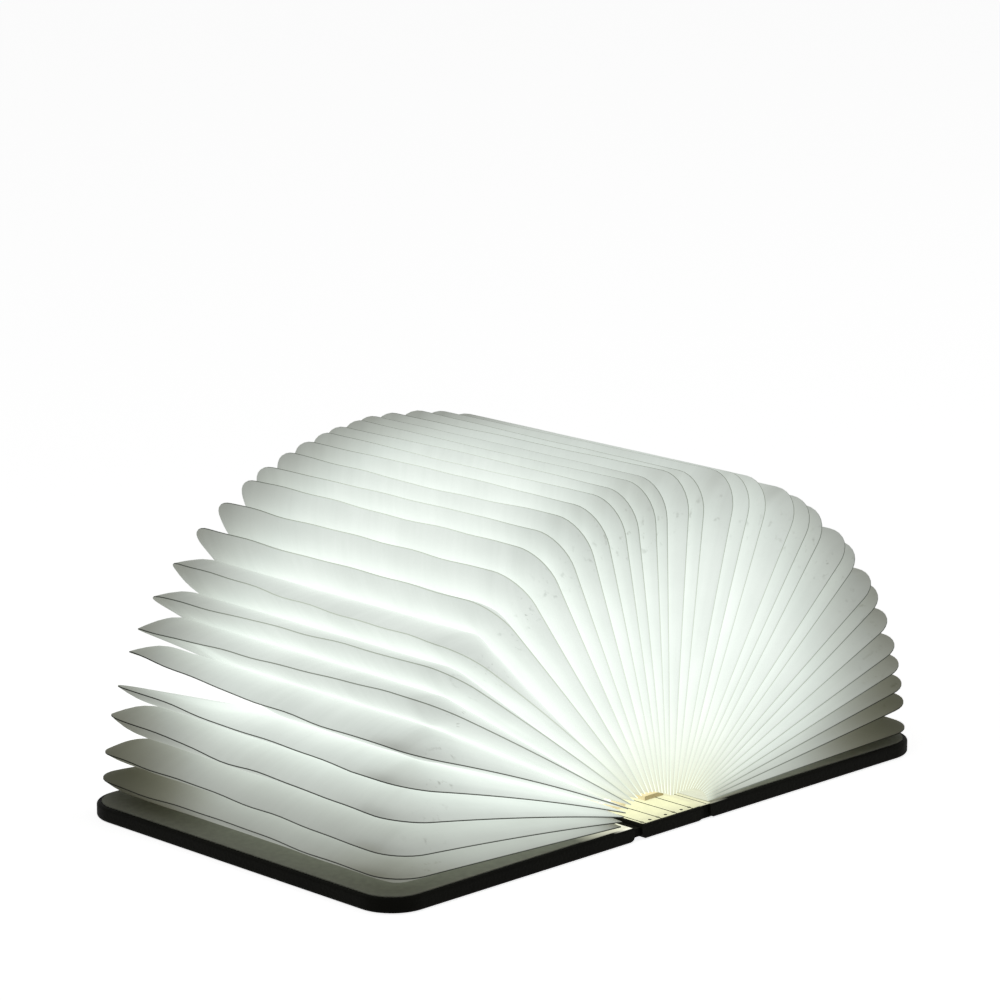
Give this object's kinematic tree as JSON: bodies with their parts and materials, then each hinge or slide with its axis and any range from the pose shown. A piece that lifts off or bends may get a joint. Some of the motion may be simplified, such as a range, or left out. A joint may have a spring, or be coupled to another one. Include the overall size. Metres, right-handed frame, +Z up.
{
  "type": "folding book lamp",
  "caption": "Book-shaped lamp lying open: stiff covers on a narrow spine, and a lit fan of seamed paper pockets between them; shuts flat or folds right back.",
  "frame": {"origin": "on the surface that the open lamp lies on, under the middle of the spine", "axes": "+X across the open covers towards the right cover, +Y along the spine towards the socket end, +Z up"},
  "size_m": [0.2064, 0.122, 0.0957],
  "materials": {
    "leatherette": "matte grained",
    "board": "grey board, uncoated",
    "liner": "uncoated",
    "magnet": "nickel plated",
    "hinge_web": "matte",
    "tray": "moulded",
    "deck": "smooth card",
    "cell": "laminated foil",
    "circuit_board": "solder mask",
    "socket": "tinned",
    "glass_tube": "glass tube, wire ends",
    "lead": "insulated wire",
    "strip": "printed LED strip",
    "led": "lit package",
    "page": "translucent, uncoated"
  },
  "bodies": {
    "spine": {"spine_skin": "leatherette", "spine_tray": "tray", "spine_deck": "deck", "battery": "cell", "charge_board": "circuit_board", "usb_socket": "socket", "reed_switch": "glass_tube", "leads": "lead", "led_strip_left": "strip", "led_strip_right": "strip", "leds": "led", "left_hinge_strip": "hinge_web", "right_hinge_strip": "hinge_web"},
    "left_cover": {"left_skin": "leatherette", "left_board": "board", "left_liner": "liner", "left_magnets": "magnet"},
    "right_cover": {"right_skin": "leatherette", "right_board": "board", "right_liner": "liner", "right_magnets": "magnet"},
    "page_left_1_body": {"page_left_1": "page"},
    "page_left_2_body": {"page_left_2": "page"},
    "page_left_3_body": {"page_left_3": "page"},
    "page_left_4_body": {"page_left_4": "page"},
    "page_left_5_body": {"page_left_5": "page"},
    "page_left_6_body": {"page_left_6": "page"},
    "page_left_7_body": {"page_left_7": "page"},
    "page_left_8_body": {"page_left_8": "page"},
    "page_left_9_body": {"page_left_9": "page"},
    "page_left_10_body": {"page_left_10": "page"},
    "page_left_11_body": {"page_left_11": "page"},
    "page_left_12_body": {"page_left_12": "page"},
    "page_left_13_body": {"page_left_13": "page"},
    "page_left_14_body": {"page_left_14": "page"},
    "page_left_15_body": {"page_left_15": "page"},
    "page_left_16_body": {"page_left_16": "page"},
    "page_left_17_body": {"page_left_17": "page"},
    "page_left_18_body": {"page_left_18": "page"},
    "page_right_1_body": {"page_right_1": "page"},
    "page_right_2_body": {"page_right_2": "page"},
    "page_right_3_body": {"page_right_3": "page"},
    "page_right_4_body": {"page_right_4": "page"},
    "page_right_5_body": {"page_right_5": "page"},
    "page_right_6_body": {"page_right_6": "page"},
    "page_right_7_body": {"page_right_7": "page"},
    "page_right_8_body": {"page_right_8": "page"},
    "page_right_9_body": {"page_right_9": "page"},
    "page_right_10_body": {"page_right_10": "page"},
    "page_right_11_body": {"page_right_11": "page"},
    "page_right_12_body": {"page_right_12": "page"},
    "page_right_13_body": {"page_right_13": "page"},
    "page_right_14_body": {"page_right_14": "page"},
    "page_right_15_body": {"page_right_15": "page"},
    "page_right_16_body": {"page_right_16": "page"},
    "page_right_17_body": {"page_right_17": "page"},
    "page_right_18_body": {"page_right_18": "page"}
  },
  "joints": [
    {"name": "left_cover_hinge", "type": "hinge", "parent": "spine", "child": "left_cover", "pos_m": [-0.01325, 0, 0.0023], "axis": [0, 1, 0], "range_deg": [-97, 90], "deforming": ["left_hinge_strip"]},
    {"name": "right_cover_hinge", "type": "hinge", "parent": "spine", "child": "right_cover", "pos_m": [0.01325, 0, 0.0023], "axis": [0, -1, 0], "range_deg": [-97, 90], "deforming": ["right_hinge_strip"]},
    {"name": "page_left_1_hinge", "type": "hinge", "parent": "spine", "child": "page_left_1_body", "pos_m": [-0.01325, 0, 0.0023], "axis": [0, 1, 0], "range_deg": [-1.72, 1.6], "deforming": ["page_left_1"]},
    {"name": "page_left_2_hinge", "type": "hinge", "parent": "spine", "child": "page_left_2_body", "pos_m": [-0.01325, 0, 0.0023], "axis": [0, 1, 0], "range_deg": [-4.93, 4.57], "deforming": ["page_left_2"]},
    {"name": "page_left_3_hinge", "type": "hinge", "parent": "spine", "child": "page_left_3_body", "pos_m": [-0.01325, 0, 0.0023], "axis": [0, 1, 0], "range_deg": [-8.59, 7.97], "deforming": ["page_left_3"]},
    {"name": "page_left_4_hinge", "type": "hinge", "parent": "spine", "child": "page_left_4_body", "pos_m": [-0.01325, 0, 0.0023], "axis": [0, 1, 0], "range_deg": [-12.52, 11.62], "deforming": ["page_left_4"]},
    {"name": "page_left_5_hinge", "type": "hinge", "parent": "spine", "child": "page_left_5_body", "pos_m": [-0.01325, 0, 0.0023], "axis": [0, 1, 0], "range_deg": [-16.36, 15.18], "deforming": ["page_left_5"]},
    {"name": "page_left_6_hinge", "type": "hinge", "parent": "spine", "child": "page_left_6_body", "pos_m": [-0.01325, 0, 0.0023], "axis": [0, 1, 0], "range_deg": [-21.37, 19.83], "deforming": ["page_left_6"]},
    {"name": "page_left_7_hinge", "type": "hinge", "parent": "spine", "child": "page_left_7_body", "pos_m": [-0.01325, 0, 0.0023], "axis": [0, 1, 0], "range_deg": [-26.24, 24.35], "deforming": ["page_left_7"]},
    {"name": "page_left_8_hinge", "type": "hinge", "parent": "spine", "child": "page_left_8_body", "pos_m": [-0.01325, 0, 0.0023], "axis": [0, 1, 0], "range_deg": [-31.43, 29.17], "deforming": ["page_left_8"]},
    {"name": "page_left_9_hinge", "type": "hinge", "parent": "spine", "child": "page_left_9_body", "pos_m": [-0.01325, 0, 0.0023], "axis": [0, 1, 0], "range_deg": [-37.77, 35.05], "deforming": ["page_left_9"]},
    {"name": "page_left_10_hinge", "type": "hinge", "parent": "spine", "child": "page_left_10_body", "pos_m": [-0.01325, 0, 0.0023], "axis": [0, 1, 0], "range_deg": [-43.33, 40.21], "deforming": ["page_left_10"]},
    {"name": "page_left_11_hinge", "type": "hinge", "parent": "spine", "child": "page_left_11_body", "pos_m": [-0.01325, 0, 0.0023], "axis": [0, 1, 0], "range_deg": [-49.8, 46.2], "deforming": ["page_left_11"]},
    {"name": "page_left_12_hinge", "type": "hinge", "parent": "spine", "child": "page_left_12_body", "pos_m": [-0.01325, 0, 0.0023], "axis": [0, 1, 0], "range_deg": [-56.44, 52.37], "deforming": ["page_left_12"]},
    {"name": "page_left_13_hinge", "type": "hinge", "parent": "spine", "child": "page_left_13_body", "pos_m": [-0.01325, 0, 0.0023], "axis": [0, 1, 0], "range_deg": [-62.4, 57.9], "deforming": ["page_left_13"]},
    {"name": "page_left_14_hinge", "type": "hinge", "parent": "spine", "child": "page_left_14_body", "pos_m": [-0.01325, 0, 0.0023], "axis": [0, 1, 0], "range_deg": [-69.2, 64.21], "deforming": ["page_left_14"]},
    {"name": "page_left_15_hinge", "type": "hinge", "parent": "spine", "child": "page_left_15_body", "pos_m": [-0.01325, 0, 0.0023], "axis": [0, 1, 0], "range_deg": [-75.45, 70], "deforming": ["page_left_15"]},
    {"name": "page_left_16_hinge", "type": "hinge", "parent": "spine", "child": "page_left_16_body", "pos_m": [-0.01325, 0, 0.0023], "axis": [0, 1, 0], "range_deg": [-81.54, 75.66], "deforming": ["page_left_16"]},
    {"name": "page_left_17_hinge", "type": "hinge", "parent": "spine", "child": "page_left_17_body", "pos_m": [-0.01325, 0, 0.0023], "axis": [0, 1, 0], "range_deg": [-87.94, 81.59], "deforming": ["page_left_17"]},
    {"name": "page_left_18_hinge", "type": "hinge", "parent": "spine", "child": "page_left_18_body", "pos_m": [-0.01325, 0, 0.0023], "axis": [0, 1, 0], "range_deg": [-93.98, 87.2], "deforming": ["page_left_18"]},
    {"name": "page_right_1_hinge", "type": "hinge", "parent": "spine", "child": "page_right_1_body", "pos_m": [0.01325, 0, 0.0023], "axis": [0, -1, 0], "range_deg": [-2.98, 2.77], "deforming": ["page_right_1"]},
    {"name": "page_right_2_hinge", "type": "hinge", "parent": "spine", "child": "page_right_2_body", "pos_m": [0.01325, 0, 0.0023], "axis": [0, -1, 0], "range_deg": [-8.66, 8.04], "deforming": ["page_right_2"]},
    {"name": "page_right_3_hinge", "type": "hinge", "parent": "spine", "child": "page_right_3_body", "pos_m": [0.01325, 0, 0.0023], "axis": [0, -1, 0], "range_deg": [-14.64, 13.59], "deforming": ["page_right_3"]},
    {"name": "page_right_4_hinge", "type": "hinge", "parent": "spine", "child": "page_right_4_body", "pos_m": [0.01325, 0, 0.0023], "axis": [0, -1, 0], "range_deg": [-20.66, 19.17], "deforming": ["page_right_4"]},
    {"name": "page_right_5_hinge", "type": "hinge", "parent": "spine", "child": "page_right_5_body", "pos_m": [0.01325, 0, 0.0023], "axis": [0, -1, 0], "range_deg": [-26.26, 24.37], "deforming": ["page_right_5"]},
    {"name": "page_right_6_hinge", "type": "hinge", "parent": "spine", "child": "page_right_6_body", "pos_m": [0.01325, 0, 0.0023], "axis": [0, -1, 0], "range_deg": [-32.67, 30.31], "deforming": ["page_right_6"]},
    {"name": "page_right_7_hinge", "type": "hinge", "parent": "spine", "child": "page_right_7_body", "pos_m": [0.01325, 0, 0.0023], "axis": [0, -1, 0], "range_deg": [-38.53, 35.75], "deforming": ["page_right_7"]},
    {"name": "page_right_8_hinge", "type": "hinge", "parent": "spine", "child": "page_right_8_body", "pos_m": [0.01325, 0, 0.0023], "axis": [0, -1, 0], "range_deg": [-44.28, 41.08], "deforming": ["page_right_8"]},
    {"name": "page_right_9_hinge", "type": "hinge", "parent": "spine", "child": "page_right_9_body", "pos_m": [0.01325, 0, 0.0023], "axis": [0, -1, 0], "range_deg": [-50.74, 47.08], "deforming": ["page_right_9"]},
    {"name": "page_right_10_hinge", "type": "hinge", "parent": "spine", "child": "page_right_10_body", "pos_m": [0.01325, 0, 0.0023], "axis": [0, -1, 0], "range_deg": [-56.03, 51.99], "deforming": ["page_right_10"]},
    {"name": "page_right_11_hinge", "type": "hinge", "parent": "spine", "child": "page_right_11_body", "pos_m": [0.01325, 0, 0.0023], "axis": [0, -1, 0], "range_deg": [-61.84, 57.38], "deforming": ["page_right_11"]},
    {"name": "page_right_12_hinge", "type": "hinge", "parent": "spine", "child": "page_right_12_body", "pos_m": [0.01325, 0, 0.0023], "axis": [0, -1, 0], "range_deg": [-67.51, 62.64], "deforming": ["page_right_12"]},
    {"name": "page_right_13_hinge", "type": "hinge", "parent": "spine", "child": "page_right_13_body", "pos_m": [0.01325, 0, 0.0023], "axis": [0, -1, 0], "range_deg": [-72.2, 66.99], "deforming": ["page_right_13"]},
    {"name": "page_right_14_hinge", "type": "hinge", "parent": "spine", "child": "page_right_14_body", "pos_m": [0.01325, 0, 0.0023], "axis": [0, -1, 0], "range_deg": [-77.52, 71.92], "deforming": ["page_right_14"]},
    {"name": "page_right_15_hinge", "type": "hinge", "parent": "spine", "child": "page_right_15_body", "pos_m": [0.01325, 0, 0.0023], "axis": [0, -1, 0], "range_deg": [-82.09, 76.17], "deforming": ["page_right_15"]},
    {"name": "page_right_16_hinge", "type": "hinge", "parent": "spine", "child": "page_right_16_body", "pos_m": [0.01325, 0, 0.0023], "axis": [0, -1, 0], "range_deg": [-86.37, 80.14], "deforming": ["page_right_16"]},
    {"name": "page_right_17_hinge", "type": "hinge", "parent": "spine", "child": "page_right_17_body", "pos_m": [0.01325, 0, 0.0023], "axis": [0, -1, 0], "range_deg": [-90.88, 84.32], "deforming": ["page_right_17"]},
    {"name": "page_right_18_hinge", "type": "hinge", "parent": "spine", "child": "page_right_18_body", "pos_m": [0.01325, 0, 0.0023], "axis": [0, -1, 0], "range_deg": [-94.97, 88.12], "deforming": ["page_right_18"]}
  ],
  "couplings": [
    {"joint": "page_left_1_hinge", "follows": "left_cover_hinge", "ratio": 0.01751},
    {"joint": "page_left_2_hinge", "follows": "left_cover_hinge", "ratio": 0.0506},
    {"joint": "page_left_3_hinge", "follows": "left_cover_hinge", "ratio": 0.0883},
    {"joint": "page_left_4_hinge", "follows": "left_cover_hinge", "ratio": 0.12888},
    {"joint": "page_left_5_hinge", "follows": "left_cover_hinge", "ratio": 0.16843},
    {"joint": "page_left_6_hinge", "follows": "left_cover_hinge", "ratio": 0.22009},
    {"joint": "page_left_7_hinge", "follows": "left_cover_hinge", "ratio": 0.27034},
    {"joint": "page_left_8_hinge", "follows": "left_cover_hinge", "ratio": 0.32385},
    {"joint": "page_left_9_hinge", "follows": "left_cover_hinge", "ratio": 0.38918},
    {"joint": "page_left_10_hinge", "follows": "left_cover_hinge", "ratio": 0.44654},
    {"joint": "page_left_11_hinge", "follows": "left_cover_hinge", "ratio": 0.51314},
    {"joint": "page_left_12_hinge", "follows": "left_cover_hinge", "ratio": 0.58165},
    {"joint": "page_left_13_hinge", "follows": "left_cover_hinge", "ratio": 0.64305},
    {"joint": "page_left_14_hinge", "follows": "left_cover_hinge", "ratio": 0.71323},
    {"joint": "page_left_15_hinge", "follows": "left_cover_hinge", "ratio": 0.77759},
    {"joint": "page_left_16_hinge", "follows": "left_cover_hinge", "ratio": 0.8404},
    {"joint": "page_left_17_hinge", "follows": "left_cover_hinge", "ratio": 0.90639},
    {"joint": "page_left_18_hinge", "follows": "left_cover_hinge", "ratio": 0.9687},
    {"joint": "page_right_1_hinge", "follows": "right_cover_hinge", "ratio": 0.03051},
    {"joint": "page_right_2_hinge", "follows": "right_cover_hinge", "ratio": 0.08908},
    {"joint": "page_right_3_hinge", "follows": "right_cover_hinge", "ratio": 0.15072},
    {"joint": "page_right_4_hinge", "follows": "right_cover_hinge", "ratio": 0.21278},
    {"joint": "page_right_5_hinge", "follows": "right_cover_hinge", "ratio": 0.27056},
    {"joint": "page_right_6_hinge", "follows": "right_cover_hinge", "ratio": 0.3366},
    {"joint": "page_right_7_hinge", "follows": "right_cover_hinge", "ratio": 0.39701},
    {"joint": "page_right_8_hinge", "follows": "right_cover_hinge", "ratio": 0.45625},
    {"joint": "page_right_9_hinge", "follows": "right_cover_hinge", "ratio": 0.52293},
    {"joint": "page_right_10_hinge", "follows": "right_cover_hinge", "ratio": 0.57744},
    {"joint": "page_right_11_hinge", "follows": "right_cover_hinge", "ratio": 0.63733},
    {"joint": "page_right_12_hinge", "follows": "right_cover_hinge", "ratio": 0.69574},
    {"joint": "page_right_13_hinge", "follows": "right_cover_hinge", "ratio": 0.74414},
    {"joint": "page_right_14_hinge", "follows": "right_cover_hinge", "ratio": 0.79894},
    {"joint": "page_right_15_hinge", "follows": "right_cover_hinge", "ratio": 0.84607},
    {"joint": "page_right_16_hinge", "follows": "right_cover_hinge", "ratio": 0.89025},
    {"joint": "page_right_17_hinge", "follows": "right_cover_hinge", "ratio": 0.93667},
    {"joint": "page_right_18_hinge", "follows": "right_cover_hinge", "ratio": 0.97885}
  ]
}
